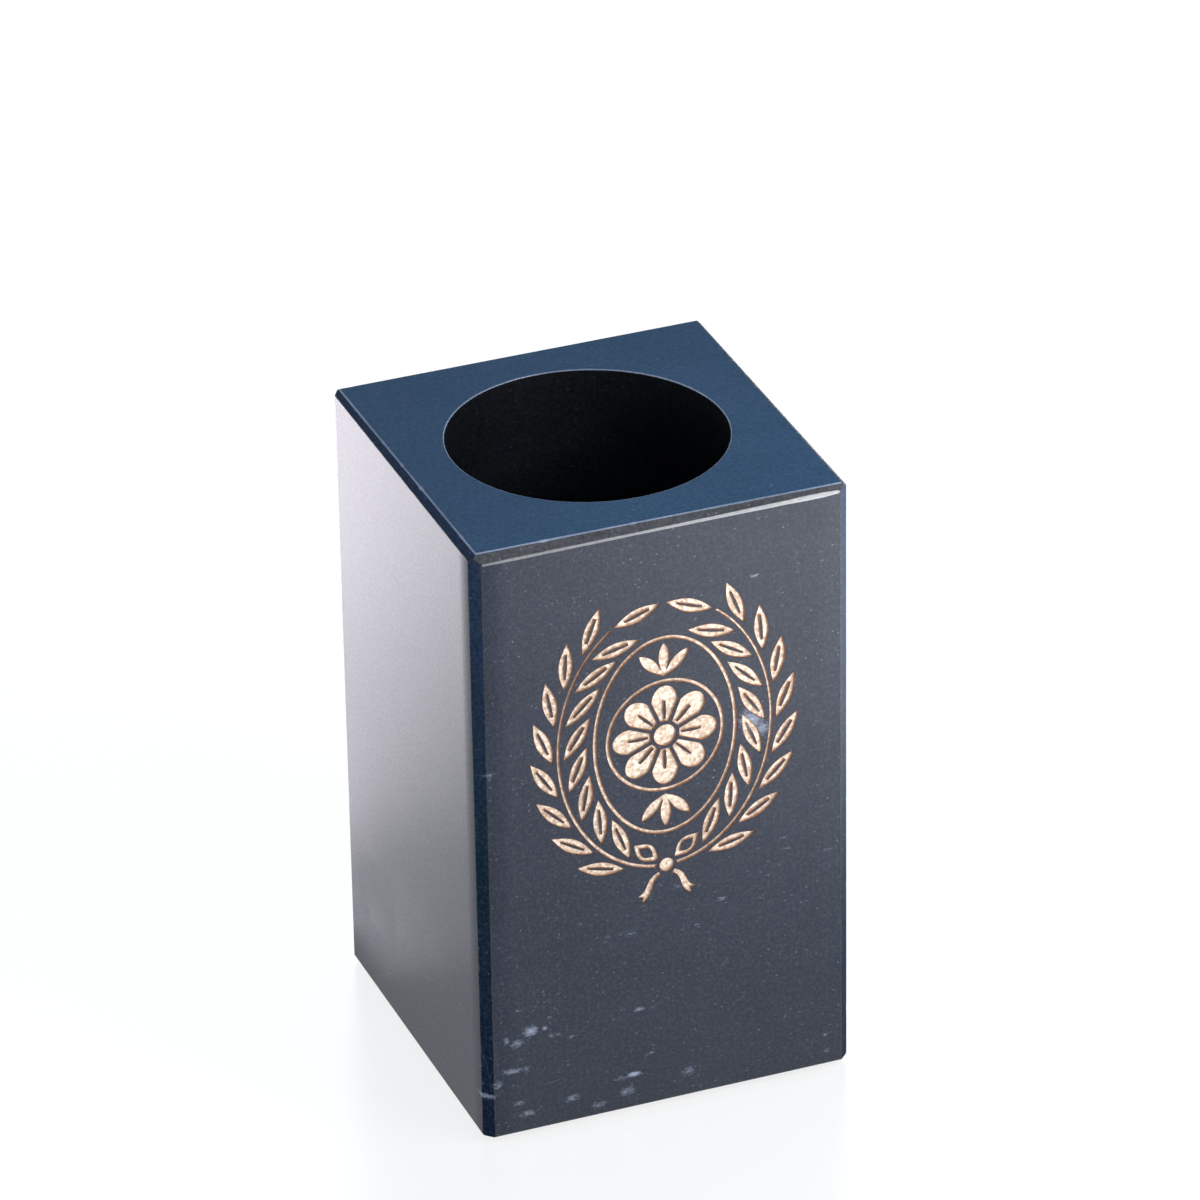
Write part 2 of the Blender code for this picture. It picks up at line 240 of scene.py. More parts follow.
# Pale streaks of calcite in the front: x and z of the middle, half width, half height, and strength
CALCITE = [
    (-0.0285, 0.0235, 0.0014, 0.0012, 1.2),
    (-0.0256, 0.0235, 0.0007, 0.0005, 0.8),
    (-0.0313, 0.0214, 0.0014, 0.0010, 0.8),
    (-0.0335, 0.0225, 0.0007, 0.0011, 0.7),
    (-0.0240, 0.0215, 0.0018, 0.0005, 0.6),
    (-0.0324, 0.0154, 0.0024, 0.0006, 0.9),
    (-0.0295, 0.0151, 0.0007, 0.0009, 0.7),
    (-0.0354, 0.0130, 0.0012, 0.0010, 0.7),
    (-0.0375, 0.0104, 0.0014, 0.0005, 1.5),
    (-0.0311, 0.0079, 0.0012, 0.0005, 0.8),
    (-0.0294, 0.0052, 0.0019, 0.0007, 0.8),
    (-0.0203, 0.0064, 0.0019, 0.0010, 0.7),
    (-0.0147, 0.0036, 0.0015, 0.0009, 0.7),
    (-0.0088, 0.0052, 0.0020, 0.0009, 0.8),
    (-0.0073, 0.0087, 0.0012, 0.0005, 1.9),
    (-0.0098, 0.0084, 0.0020, 0.0006, 0.6),
    (0.0040, 0.0067, 0.0015, 0.0011, 0.7),
    (-0.0060, 0.0231, 0.0011, 0.0005, 0.9),
    (0.0177, 0.0819, 0.0024, 0.0024, 1.1),
    (0.0197, 0.0796, 0.0019, 0.0019, 0.9),
    (0.0184, 0.1128, 0.0009, 0.0004, 0.9),
    (-0.0124, 0.0408, 0.0010, 0.0004, 0.5),
    (-0.0075, 0.0404, 0.0014, 0.0007, 0.5),
    (-0.0247, 0.0257, 0.0010, 0.0003, 0.5),
    (-0.0358, 0.0815, 0.0017, 0.0007, 0.6),
    (0.0021, 0.0486, 0.0011, 0.0007, 0.5),
    (0.0111, 0.0439, 0.0011, 0.0005, 0.7),
    (0.0060, 0.0393, 0.0011, 0.0004, 0.5),
    (0.0239, 0.0544, 0.0010, 0.0003, 0.6),
    (0.0247, 0.0519, 0.0011, 0.0003, 0.6),
    (0.0328, 0.0497, 0.0024, 0.0004, 0.4),
    (-0.0040, 0.0126, 0.0016, 0.0005, 0.5),
    (0.0327, 0.0080, 0.0007, 0.0004, 0.7),
    (0.0331, 0.0043, 0.0007, 0.0005, 0.7),
    (-0.0258, 0.0318, 0.0010, 0.0003, 0.4),
    (-0.0310, 0.0287, 0.0011, 0.0004, 0.5),
    (-0.0200, 0.0203, 0.0013, 0.0005, 0.5),
]

# Scratches in the front: x and z of the middle, half length, angle, and strength
SCRATCHES = [
    (0.0137, 0.0195, 0.0034, radians(39), 0.8),
    (0.0114, 0.0291, 0.0019, radians(46), 0.8),
    (-0.0246, 0.0110, 0.0028, radians(8), 0.7),
    (-0.0080, 0.0412, 0.0030, radians(4), 0.4),
]


# Outlines are lists of (x, z) points, counter-clockwise round the ornament's centre or a leaf's own base
def turned(points, angle):
    return [(x * cos(angle) - z * sin(angle), x * sin(angle) + z * cos(angle)) for x, z in points]


def moved(points, by_x, by_z):
    return [(x + by_x, z + by_z) for x, z in points]


def mirrored(points):
    """The outline on the other side of the ornament's upright middle line, still counter-clockwise."""
    return [(-x, z) for x, z in reversed(points)]


def inset(points, distance):
    """The outline moved inwards along its edges' normals, mitred at its corners."""
    corners = np.array(points)
    edges = np.roll(corners, -1, axis=0) - corners
    inward = np.stack((-edges[:, 1], edges[:, 0]), axis=1) / np.linalg.norm(edges, axis=1)[:, None]
    before = np.roll(inward, 1, axis=0)
    mitre = (before + inward) / (1 + (before * inward).sum(axis=1))[:, None]
    mitre *= np.minimum(1, MITRE_LIMIT / np.linalg.norm(mitre, axis=1))[:, None]
    return [tuple(place) for place in corners + distance * mitre]


def oval(half_width, half_height, steps):
    turns = [2 * pi * step / steps for step in range(steps)]
    return [(half_width * cos(turn), half_height * sin(turn)) for turn in turns]


def blade(length, width):
    """A pointed leaf from the origin along +X."""
    shares = [step / BLADE_STEPS for step in range(BLADE_STEPS)]
    lower = [(length * share, -width / 2 * sin(pi * share)) for share in shares]
    upper = [(length * (1 - share), width / 2 * sin(pi * share)) for share in shares]
    return lower + upper


def band(middle, halves):
    """The outline round a line of points, with half the band's width at each."""
    points = np.array(middle)
    ways = np.gradient(points, axis=0)
    right = np.stack((ways[:, 1], -ways[:, 0]), axis=1) / np.linalg.norm(ways, axis=1)[:, None]
    edge = right * np.array(halves)[:, None]
    return [tuple(point) for point in np.concatenate((points + edge, (points - edge)[::-1]))]


def vein(start, end):
    """The sliver of stone left standing between two points on a leaf's middle line, with blunt ends."""
    middle = (start + end) / 2
    return band([(start, 0), (middle, 0), (end, 0)], [VEIN_WIDTH / 4, VEIN_WIDTH / 2, VEIN_WIDTH / 4])


def petal():
    """A petal along +X: straight sides kept clear of its neighbours, and a round end."""
    half_angle = pi / PETAL_COUNT
    round_start = petals_end - PETAL_ROUNDING

    def half_width(radius):
        return radius * tan(half_angle) - BARE_STONE / 2 / cos(half_angle)

    steps = 2 * ROUND_STEPS
    turns = [pi / 2 * step / steps for step in range(-steps, steps + 1)]
    end = [(round_start + PETAL_ROUNDING * cos(turn), half_width(round_start) * sin(turn)) for turn in turns]
    base = [(petals_start, half_width(petals_start)), (petals_start, -half_width(petals_start))]
    return [end + base, vein(petals_start + BARE_STONE, round_start)]


def ring(half_width, half_height):
    """A thin line round an oval, as [outline, hole]."""
    half_line = LINE_WIDTH / 2
    return [
        oval(half_width + half_line, half_height + half_line, RING_STEPS),
        oval(half_width - half_line, half_height - half_line, RING_STEPS),
    ]


def placed(loops, angle, by_x, by_z):
    return [moved(turned(loop, angle), by_x, by_z) for loop in loops]


def both_sides(name, loops):
    """The right-hand fill and its mirror image on the left."""
    return {
        f"gilt_right_{name}": loops,
        f"gilt_left_{name}": [mirrored(loop) for loop in loops],
    }


# The stems follow an oval, which is walked from its lowest point up the right-hand side
def stem_table():
    """How far along the oval each of many small turns lies."""
    turns = np.linspace(0, pi, TABLE_STEPS + 1)
    x = stem_half_width * np.sin(turns)
    z = -stem_half_height * np.cos(turns)
    lengths = np.concatenate(([0], np.cumsum(np.hypot(np.diff(x), np.diff(z)))))
    return turns, lengths


def stem_place(distance):
    """(x, z, heading) on the stem's oval, this far from its lowest point."""
    turns, lengths = stem_table()
    turn = float(np.interp(distance, lengths, turns))
    heading = atan2(stem_half_height * sin(turn), stem_half_width * cos(turn))
    return stem_half_width * sin(turn), -stem_half_height * cos(turn), heading


def outside_stem(x, z):
    """About how far a point lies outside the stem's oval, and exactly so for a point on it."""
    share = hypot(x / stem_half_width, z / stem_half_height)
    slope = hypot(x / stem_half_width**2, z / stem_half_height**2) / share
    return (share - 1) / slope


def stem_end():
    return float(stem_table()[1][-1]) - BARE_STONE - leaf_length


def leaf_places():
    """Where each pair of leaves leaves the stem, beyond the bow's loop, and the step between two pairs."""
    first = bow_start + (LOOP_LENGTH + BARE_STONE) * cos(LOOP_ANGLE) + BARE_STONE
    step = (stem_end() - first) / LEAF_PAIRS
    return [first + step * number for number in range(LEAF_PAIRS)], step


def leaf():
    width = leaf_places()[1] * sin(LEAF_SPREAD) - BARE_STONE
    return [blade(leaf_length, width), vein(leaf_length / 4, leaf_length * 3 / 4)]


def stem():
    distances = np.linspace(bow_start, stem_end() - BARE_STONE, STEM_STEPS)
    halves = np.linspace(LINE_WIDTH / 2, LINE_WIDTH / 3, STEM_STEPS)
    return [band([stem_place(distance)[:2] for distance in distances], halves)]


def stem_leaf(distance, side_way):
    """A leaf that leaves the stem here, outwards for side_way -1 and inwards for 1."""
    x, z, way = stem_place(distance)
    middle_way = stem_place(distance + leaf_length / 2)[2]
    loops = placed(leaf(), middle_way + side_way * LEAF_SPREAD, x, z)
    nearest = min(-side_way * outside_stem(*point) for point in loops[0])
    push = side_way * (LINE_WIDTH / 2 + BARE_STONE - nearest)
    return placed(loops, 0, -push * sin(way), push * cos(way))


def end_leaf():
    x, z, _ = stem_place(stem_end())
    return placed(leaf(), stem_place(stem_end() + leaf_length / 2)[2], x, z)


def spray():
    """A small spray of pointed leaves joined at the foot, which stands on the rosette's ring."""
    outline = [(0, spray_foot)]
    for number in range(SPRAY_LEAVES):
        middle = pi / 2 + (number - (SPRAY_LEAVES - 1) / 2) * SPRAY_ANGLE
        for share in np.linspace(-1, 1, 2 * SPRAY_STEPS + 1)[number > 0 :]:
            reach = SPRAY_CROTCH + (SPRAY_LENGTH - SPRAY_CROTCH) * (1 - abs(share)) ** SPRAY_FULLNESS
            way = middle + share * SPRAY_ANGLE / 2
            outline.append((reach * cos(way), spray_foot + reach * sin(way)))
    return [outline]


def beside_knot(loops, angle):
    """Loops that start at the origin, moved to the bow's knot and turned this far up from the right."""
    return placed(loops, angle, bow_start * cos(angle), bow_start * sin(angle) - stem_half_height)


def bow_loop():
    edge = 2 * LINE_WIDTH
    loops = [blade(LOOP_LENGTH, LOOP_WIDTH), moved(blade(LOOP_LENGTH - 2 * edge, LOOP_WIDTH - edge), edge, 0)]
    return beside_knot(loops, LOOP_ANGLE)


def tail_place(share):
    """A point on a tail's middle line, at this share of its length."""
    return TAIL_LENGTH * share, TAIL_WAVE * sin(2 * pi * share)


def bow_tail():
    """The bow's right-hand tail, waved and widening to a notched end."""
    shares = np.linspace(0, 1, TAIL_STEPS + 1)
    halves = [TAIL_WIDTH / 4 * (1 + share) for share in shares]
    outline = band([tail_place(share) for share in shares], halves)
    outline.insert(TAIL_STEPS + 1, tail_place(1 - TAIL_WIDTH / 2 / TAIL_LENGTH))
    return beside_knot([outline], -TAIL_ANGLE)


def ornament():
    """{node name: [outline, holes]} for every fill, round the ornament's centre."""
    fills = {"gilt_rosette_boss": [oval(BOSS_RADIUS, BOSS_RADIUS, 8 * ROUND_STEPS)]}
    for number in range(PETAL_COUNT):
        angle = pi / 2 - 2 * pi * number / PETAL_COUNT
        fills[f"gilt_rosette_petal_{number + 1}"] = placed(petal(), angle, 0, 0)
    fills["gilt_rosette_ring"] = ring(ring_radius, ring_radius)
    fills["gilt_oval_line"] = ring(oval_half_width, oval_half_height)
    fills["gilt_upper_spray"] = spray()
    fills["gilt_lower_spray"] = placed(spray(), pi, 0, 0)
    fills.update(both_sides("stem", stem()))
    for number, distance in enumerate(leaf_places()[0], start=1):
        fills.update(both_sides(f"outer_leaf_{number}", stem_leaf(distance, -1)))
        fills.update(both_sides(f"inner_leaf_{number}", stem_leaf(distance, 1)))
    fills.update(both_sides("end_leaf", end_leaf()))
    knot = oval(KNOT_RADIUS, KNOT_RADIUS, 4 * ROUND_STEPS)
    fills["gilt_bow_knot"] = placed([knot], 0, 0, -stem_half_height)
    fills.update(both_sides("bow_loop", bow_loop()))
    fills.update(both_sides("bow_tail", bow_tail()))
    return fills


# Sizes worked out from those above
border_half = side / 2 - UPRIGHT_FLAT
petals_start = BOSS_RADIUS + BARE_STONE
petals_end = petals_start + PETAL_LENGTH
ring_radius = petals_end + BARE_STONE + LINE_WIDTH / 2
spray_foot = ring_radius + LINE_WIDTH / 2 + BARE_STONE
oval_half_width = ring_radius + OVAL_MARGIN + LINE_WIDTH
oval_half_height = spray_foot + SPRAY_LENGTH + BARE_STONE + LINE_WIDTH / 2
stem_half_width = oval_half_width + LINE_WIDTH + STEM_MARGIN
stem_half_height = oval_half_height + LINE_WIDTH + STEM_MARGIN
leaf_length = (STEM_MARGIN - 3 * BARE_STONE) / sin(LEAF_SPREAD)
bow_start = KNOT_RADIUS + BARE_STONE


# Meshes
def linked(name, data, *materials):
    """A new object in the scene for this mesh, lamp or camera, with a mesh's materials."""
    item = bpy.data.objects.new(name, data)
    bpy.context.scene.collection.objects.link(item)
    for material in materials:
        data.materials.append(material)
    return item


def join_rings(shape, rings):
    """The faces between each closed ring of corners and the next."""
    faces = []
    for lower, upper in zip(rings, rings[1:]):
        for index, vert in enumerate(lower):
            following = (index + 1) % len(lower)
            faces.append(shape.faces.new((vert, lower[following], upper[following], upper[index])))
    return faces


def fill_between(shape, rings):
    """Fills the flat region inside the first ring and outside the others."""
    edges = []
    for verts in rings:
        edges += [shape.edges.get(ends) for ends in zip(verts, verts[1:] + verts[:1])]
    bmesh.ops.triangle_fill(shape, edges=edges, use_beauty=True, normal=(0, -1, 0))


def ringed_solid(shape, loops, profile):
    """A closed solid in the front face, from (inset, depth) rings that run from its back to its front."""
    backs = []
    fronts = []
    for number, loop in enumerate(loops):
        way = -1 if number else 1
        rings = []
        for distance, depth in profile:
            points = inset(loop, way * distance)
            rings.append([shape.verts.new((x, face_y + depth, ornament_z + z)) for x, z in points])
        join_rings(shape, rings)
        backs.append(rings[0])
        fronts.append(rings[-1])
    fill_between(shape, backs)
    fill_between(shape, fronts)


def finished_mesh(shape, name):
    """The mesh of a closed shape, with its faces turned outwards."""
    bmesh.ops.recalc_face_normals(shape, faces=shape.faces[:])
    mesh = bpy.data.meshes.new(name)
    shape.to_mesh(mesh)
    shape.free()
    return mesh


def corner(way_x, way_y, way_z):
    """One of the block's sharp corners, as it was before its edges were ground."""
    return Vector((
        block_high.x if way_x > 0 else block_low.x,
        block_high.y if way_y > 0 else block_low.y,
        block_high.z if way_z > 0 else block_low.z,
    ))


def block_edges():
    """(end, other end, ways inwards along its two faces, flat at each end) for each of the block's edges."""
    upright = (UPRIGHT_FLAT, UPRIGHT_FLAT)
    foot = (FOOT_FLAT, FOOT_FLAT)
    left_top = (LEFT_FRONT_FLAT, LEFT_BACK_FLAT)
    right_top = (RIGHT_FRONT_FLAT, RIGHT_BACK_FLAT)
    front_top = (TOP_LEFT_FLAT, TOP_RIGHT_FLAT)
    back_top = (TOP_FLAT, TOP_FLAT)
    edges = []
    for a in (-1, 1):
        for b in (-1, 1):
            along_side = foot
            across = foot
            if b > 0:
                along_side = left_top if a < 0 else right_top
                across = front_top if a < 0 else back_top
            drop = LEFT_FLAT_DROP if along_side is left_top else 1
            upright_ways = (Vector((-a, 0, 0)), Vector((0, -b, 0)))
            side_ways = (Vector((-a, 0, 0)), Vector((0, 0, -b * drop)))
            across_ways = (Vector((0, -a, 0)), Vector((0, 0, -b)))
            edges.append((corner(a, b, -1), corner(a, b, 1), upright_ways, upright))
            edges.append((corner(a, -1, b), corner(a, 1, b), side_ways, along_side))
            edges.append((corner(-1, a, b), corner(1, a, b), across_ways, across))
    return edges


def grind_flat(shape, end, other_end, ways, flats):
    """Cuts one edge of the block off by a flat."""
    first, second = ways
    a = end + first * flats[0]
    b = end + second * flats[0]
    c = other_end + first * flats[1]
    outwards = (b - a).cross(c - a).normalized()
    if outwards.dot(end - a) < 0:
        outwards.negate()
    everything = shape.verts[:] + shape.edges[:] + shape.faces[:]
    cut = bmesh.ops.bisect_plane(shape, geom=everything, plane_co=a, plane_no=outwards, clear_outer=True)
    rim = [item for item in cut["geom_cut"] if isinstance(item, bmesh.types.BMEdge)]
    bmesh.ops.contextual_create(shape, geom=rim)


def split_evenly(edge, step):
    """Splits an edge into pieces about this long."""
    pieces = max(1, round(edge.calc_length() / step))
    start = edge.verts[0]
    for left in range(pieces, 1, -1):
        edge, start = bmesh.utils.edge_split(edge, start, 1 / left)
        if start in edge.verts:
            edge = next(other for other in start.link_edges if other is not edge)


def on_border(place):
    """Whether a place lies on the lower border of the front's upper flat, short of its two ends."""
    low_enough = place.y < face_y + EDGE_ROUNDING
    high_enough = place.z > block_high.z - TOP_LEFT_FLAT - EDGE_ROUNDING
    return low_enough and high_enough and abs(place.x) < border_half - EDGE_STEP / 2


def border_wear(place):
    """How much more the border is rubbed here: a little to the left, most to the right, less at its ends."""
    share = (place.x + border_half) / (2 * border_half)
    ends = min(1.0, BORDER_END + (border_half - abs(place.x)) / BORDER_TAPER)
    return (BORDER_WEAR + BORDER_LEFT * (1 - share) + BORDER_RIGHT * share**3) * ends


def on_top_edge(place):
    return place.z > block_high.z - EDGE_ROUNDING


def on_painted_highlight_lip(place):
    """Whether a place lies on the top's front or left edge, which take a painted highlight, paler than its
    others.
    """
    return on_top_edge(place) and max(place.x, place.y) < side / 2 - TOP_FLAT - EDGE_ROUNDING


def wear(place):
    """How many times its usual size an edge's rounding is here: uneven, with a chip now and then."""
    uneven = 0.5 + 0.5 * noise.noise(place * UNEVEN_SCALE)
    usual = LEAST_WEAR + UNEVEN_WEAR * uneven
    if on_border(place):
        return usual + border_wear(place)
    chip = max(0.0, noise.noise(place * CHIP_SCALE + CHIP_SHIFT) - CHIP_LEVEL) * CHIP_SIZE
    lip = LIP_WEAR if on_top_edge(place) else 0.0
    return usual + chip + lip


def wear_edges(shape):
    """Rounds every edge between two flat faces, more in some places than in others."""
    for edge in shape.edges[:]:
        split_evenly(edge, EDGE_STEP)
    tree = kdtree.KDTree(len(shape.verts))
    for index, vert in enumerate(shape.verts):
        tree.insert(vert.co, index)
    tree.balance()
    made = bmesh.ops.bevel(
        shape,
        geom=shape.edges[:],
        offset=EDGE_ROUNDING,
        segments=EDGE_SEGMENTS,
        profile=0.5,
        affect="EDGES",
    )
    for face in made["faces"]:
        ridge, _, _ = tree.find(face.calc_center_median())
        face.smooth = True
        face.material_index = SLOT_WORN
        # The top's front and left edges take a painted highlight
        if on_painted_highlight_lip(ridge):
            face.material_index = SLOT_HIGHLIGHT_LIP
        # The border under the front's upper flat takes a painted highlight
        elif on_border(ridge):
            face.material_index = SLOT_HIGHLIGHT_BORDER
    for vert in shape.verts:
        ridge, _, _ = tree.find(vert.co)
        vert.co = ridge + (vert.co - ridge) * wear(ridge)


def face_slot(face):
    """The material slot of one of the block's flat faces."""
    way = face.normal
    if way.z > SQUARE_ON:
        return SLOT_TOP
    if max(abs(way.x), abs(way.y), abs(way.z)) > SQUARE_ON:
        return SLOT_SIDE
    # Flats leaning up to the front or back take the lit copy of the ground stone, painted light; the other
    # flats take its darker copy
    return SLOT_PAINTED_LIGHT_RIM if way.z > LEANING and abs(way.x) < LEANING else SLOT_FLAT


def well_profile():
    """(radius, height) down the well: from above its mouth, round the lip, down the wall and to the floor."""
    floor = block_low.z + WELL_FLOOR
    lip_z = block_high.z - WELL_LIP
    fillet_z = floor + WELL_FILLET
    turns = [pi / 2 * step / ROUND_STEPS for step in range(ROUND_STEPS + 1)]
    points = [(WELL_RADIUS + WELL_LIP, block_high.z + WELL_LIP)]
    for turn in turns:
        points.append((WELL_RADIUS + WELL_LIP * (1 - sin(turn)), lip_z + WELL_LIP * cos(turn)))
    for step in range(1, ROUND_STEPS):
        points.append((WELL_RADIUS, lip_z - (lip_z - fillet_z) * step / ROUND_STEPS))
    for turn in turns:
        points.append((WELL_RADIUS - WELL_FILLET * (1 - cos(turn)), fillet_z - WELL_FILLET * sin(turn)))
    return points


def add_well(shape):
    """Adds the well's cutter as a closed solid of revolution."""
    turns = [2 * pi * step / WELL_SIDES for step in range(WELL_SIDES)]
    rings = []
    for radius, height in well_profile():
        rings.append([shape.verts.new((radius * cos(turn), radius * sin(turn), height)) for turn in turns])
    lip_faces = (ROUND_STEPS + 1) * WELL_SIDES
    for number, face in enumerate(join_rings(shape, rings)):
        face.smooth = True
        # The well's rounded mouth takes the lip's painted highlight
        face.material_index = SLOT_HIGHLIGHT_LIP if number < lip_faces else SLOT_WELL
    for rim in (rings[0], rings[-1]):
        shape.faces.new(rim).material_index = SLOT_WELL


def cutter_mesh(fills):
    """The well and every recess, as one mesh of separate solids."""
    shape = bmesh.new()
    for loops in fills.values():
        ringed_solid(shape, loops, [(0, ETCH_DEPTH), (0, -ETCH_DEPTH)])
    for face in shape.faces:
        face.material_index = SLOT_RECESS
    add_well(shape)
    return finished_mesh(shape, "cutters")


def ground_block(fills, materials):
    """The stone block with its ground flats, its worn edges, its well and its recesses."""
    shape = bmesh.new()
    bmesh.ops.create_cube(shape, size=1, matrix=Matrix.Diagonal((side, side, block_high.z - block_low.z, 1)))
    bmesh.ops.translate(shape, vec=(block_low + block_high) / 2, verts=shape.verts)
    for edge in block_edges():
        grind_flat(shape, *edge)
    bmesh.ops.recalc_face_normals(shape, faces=shape.faces[:])
    for face in shape.faces:
        face.material_index = face_slot(face)
    wear_edges(shape)
    block = linked("ground_stone_block", finished_mesh(shape, "ground_stone_block"), *materials)
    cutter = linked("cutters", cutter_mesh(fills), *materials)
    cut = block.modifiers.new("Cuts", "BOOLEAN")
    cut.operation = "DIFFERENCE"
    cut.solver = "EXACT"
    cut.object = cutter
    depsgraph = bpy.context.evaluated_depsgraph_get()
    mesh = bpy.data.meshes.new_from_object(block.evaluated_get(depsgraph))
    block.modifiers.clear()
    block.data = mesh
    bpy.data.objects.remove(cutter)
    return block


def paint_fill(cad_node, loops, material):
    """One fill of dried gold paint, which climbs the walls of its recess."""
    shape = bmesh.new()
    ringed_solid(shape, loops, PAINT_PROFILE)
    name = cad_node.replace("gilt", "painted")
    return linked(name, finished_mesh(shape, name), material)


def felt_outline():
    """Points round the felt's side, with rounded corners."""
    straight = felt_side / 2 - FELT_CORNER
    points = []
    for quarter in range(4):
        spin = Matrix.Rotation(pi / 2 * quarter, 2)
        for step in range(FELT_SIDE_STEPS):
            along = -straight + 2 * straight * step / FELT_SIDE_STEPS
            points.append(spin @ Vector((felt_side / 2, along)))
        for step in range(FELT_CORNER_STEPS):
            turn = pi / 2 * step / FELT_CORNER_STEPS
            round_corner = Vector((cos(turn), sin(turn))) * FELT_CORNER
            points.append(spin @ (Vector((straight, straight)) + round_corner))
    return points


def felt_pad(material):
    """The felt under the base, with soft ragged edges."""
    shape = bmesh.new()
    thickness = felt_high.z - felt_low.z
    rings = []
    for distance, share in FELT_PROFILE:
        verts = []
        for x, y in felt_outline():
            fuzz = FELT_FUZZ * noise.noise(Vector((x, y, share * thickness)) * FELT_FUZZ_SCALE)
            pull = 1 - (distance + FELT_FUZZ + fuzz) / (felt_side / 2)
            verts.append(shape.verts.new((x * pull, y * pull, felt_low.z + thickness * share)))
        rings.append(verts)
    for face in join_rings(shape, rings):
        face.smooth = True
    for rim in (rings[0], rings[-1]):
        shape.faces.new(rim)
    return linked("felt_pad", finished_mesh(shape, "felt_pad"), material)


# Materials
def new_material(name):
    """A material and its node tree, with the shader it starts with."""
    material = bpy.data.materials.new(name)
    material.use_nodes = True
    return material, material.node_tree, material.node_tree.nodes["Principled BSDF"]


def node(tree, kind, inputs=None, output=0, **settings):
    """Adds a node, sets or links its inputs, and gives one of its outputs."""
    made = tree.nodes.new(kind)
    for key, value in settings.items():
        setattr(made, key, value)
    for key, value in (inputs or {}).items():
        if isinstance(value, bpy.types.NodeSocket):
            tree.links.new(value, made.inputs[key])
        else:
            made.inputs[key].default_value = value
    return made.outputs[output]


def maths(tree, operation, *values):
    return node(tree, "ShaderNodeMath", dict(enumerate(values)), operation=operation)


def plus(tree, value, other):
    return maths(tree, "ADD", value, other)


def minus(tree, value, other):
    return maths(tree, "SUBTRACT", value, other)


def times(tree, value, other):
    return maths(tree, "MULTIPLY", value, other)


def unsigned(tree, value):
    return maths(tree, "ABSOLUTE", value)


def vector_maths(tree, operation, value, other, output=0):
    return node(tree, "ShaderNodeVectorMath", {0: value, 1: other}, output, operation=operation)


def object_place(tree):
    return node(tree, "ShaderNodeTexCoord", output="Object")


def along_axis(tree, place, axis):
    return node(tree, "ShaderNodeSeparateXYZ", {0: place}, output=axis)


def stretched(tree, place, scale, turn=(0, 0, 0)):
    return node(tree, "ShaderNodeMapping", {"Vector": place, "Rotation": turn, "Scale": scale})


def cloud(tree, place, scale, detail=2.0, roughness=0.5):
    """Noise from 0 to 1 with features about 1/scale metres across."""
    settings = {"Vector": place, "Scale": scale, "Detail": detail, "Roughness": roughness}
    return node(tree, "ShaderNodeTexNoise", settings)


def ramp(tree, value, low, high, to_low=0.0, to_high=1.0):
    settings = {0: value, 1: low, 2: high, 3: to_low, 4: to_high}
    return node(tree, "ShaderNodeMapRange", settings, clamp=True)


def blend(tree, factor, colour, other):
    """colour where factor is 0, and other where it is 1."""
    ends = [part if isinstance(part, bpy.types.NodeSocket) else (*part, 1) for part in (colour, other)]
    return node(tree, "ShaderNodeMix", {0: factor, 6: ends[0], 7: ends[1]}, 2, data_type="RGBA")


def bumped(tree, height, strength=1.0, distance=1.0):
    settings = {"Strength": strength, "Distance": distance, "Height": height}
    return node(tree, "ShaderNodeBump", settings)


def dots(tree, place, scale, radius, share):
    """Small round specks, one in some of the cells, 1 in their middles."""
    cell = tree.nodes.new("ShaderNodeTexVoronoi")
    cell.inputs["Scale"].default_value = scale
    tree.links.new(place, cell.inputs["Vector"])
    speck = ramp(tree, cell.outputs["Distance"], radius * scale, 0.3 * radius * scale)
    chance = node(tree, "ShaderNodeSeparateColor", {0: cell.outputs["Color"]})
    return times(tree, speck, ramp(tree, chance, 1 - share, 1.0))


def pale_specks(tree, place):
    """Specks of two sizes, and fainter flecks that lie flat."""
    large = dots(tree, place, scale=330, radius=0.00022, share=0.4)
    small = dots(tree, place, scale=900, radius=0.0002, share=0.3)
    flecks = dots(tree, stretched(tree, place, (1, 1, 1.8)), scale=620, radius=0.0004, share=0.25)
    return plus(tree, plus(tree, large, small), times(tree, flecks, 0.5))


def calcite_streaks(tree, place):
    """The front's pale streaks, broken up by noise."""
    total = None
    for x, z, half_width, half_height, strength in CALCITE:
        offset = vector_maths(tree, "SUBTRACT", place, (x, face_y, z))
        scale = (1 / half_width, 1 / CALCITE_DEPTH, 1 / half_height)
        scaled = vector_maths(tree, "MULTIPLY", offset, scale)
        length = vector_maths(tree, "LENGTH", scaled, (0, 0, 0), output="Value")
        spot = ramp(tree, length, 1.6, 0.0, 0.0, strength)
        total = spot if total is None else maths(tree, "MAXIMUM", total, spot)
    texture = cloud(tree, stretched(tree, place, CALCITE_SCALE), 1, 5, 0.72)
    broken = ramp(tree, plus(tree, times(tree, total, 0.45), texture), 0.62, 1.1)
    return times(tree, broken, ramp(tree, total, 0.0, 0.4))


def front_scratches(tree, place):
    """The few straight scratches in the front."""
    total = None
    for x, z, half_length, angle, strength in SCRATCHES:
        offset = vector_maths(tree, "SUBTRACT", place, (x, face_y, z))
        along = (cos(angle) / half_length, 0, sin(angle) / half_length)
        across = [part / SCRATCH_HALF_WIDTH for part in (-sin(angle), 1, cos(angle))]
        far = vector_maths(tree, "DOT_PRODUCT", offset, along, output="Value")
        wide = vector_maths(tree, "DOT_PRODUCT", offset, across, output="Value")
        ends = ramp(tree, unsigned(tree, far), 1.0, 0.6, 0.0, strength)
        line = times(tree, ramp(tree, unsigned(tree, wide), 1.0, 0.2), ends)
        total = line if total is None else maths(tree, "MAXIMUM", total, line)
    return times(tree, total, ramp(tree, cloud(tree, place, 900, 2), 0.3, 0.6))


